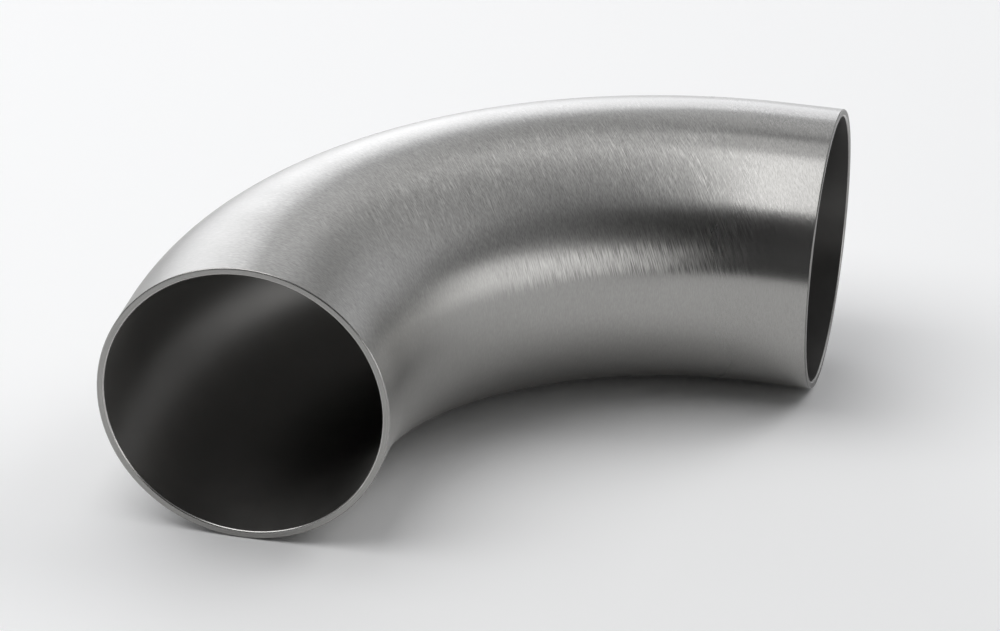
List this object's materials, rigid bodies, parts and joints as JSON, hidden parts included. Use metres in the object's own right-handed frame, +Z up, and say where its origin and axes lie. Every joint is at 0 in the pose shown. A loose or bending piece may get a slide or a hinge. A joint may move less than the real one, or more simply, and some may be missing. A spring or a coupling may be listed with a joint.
{
  "type": "sanitary weld bend",
  "caption": "Quarter-turn bend of polished thin-walled stainless tube with a short straight end each side, for butt welding into hygienic pipework.",
  "frame": {"origin": "centre of weld face A, on the tube's centre line", "axes": "the tube leaves weld face A along +Y and bends in the plane z = 0 towards +X, so face A looks along -Y and face B along +X; +Z is up as the bend lies flat"},
  "size_m": [0.1398, 0.1397, 0.0636],
  "materials": {
    "brushed_stainless": "fine abrasive polish outside, smooth drawn bore, machined weld faces"
  },
  "bodies": {
    "root": {"weld_bend": "brushed_stainless"}
  },
  "joints": []
}
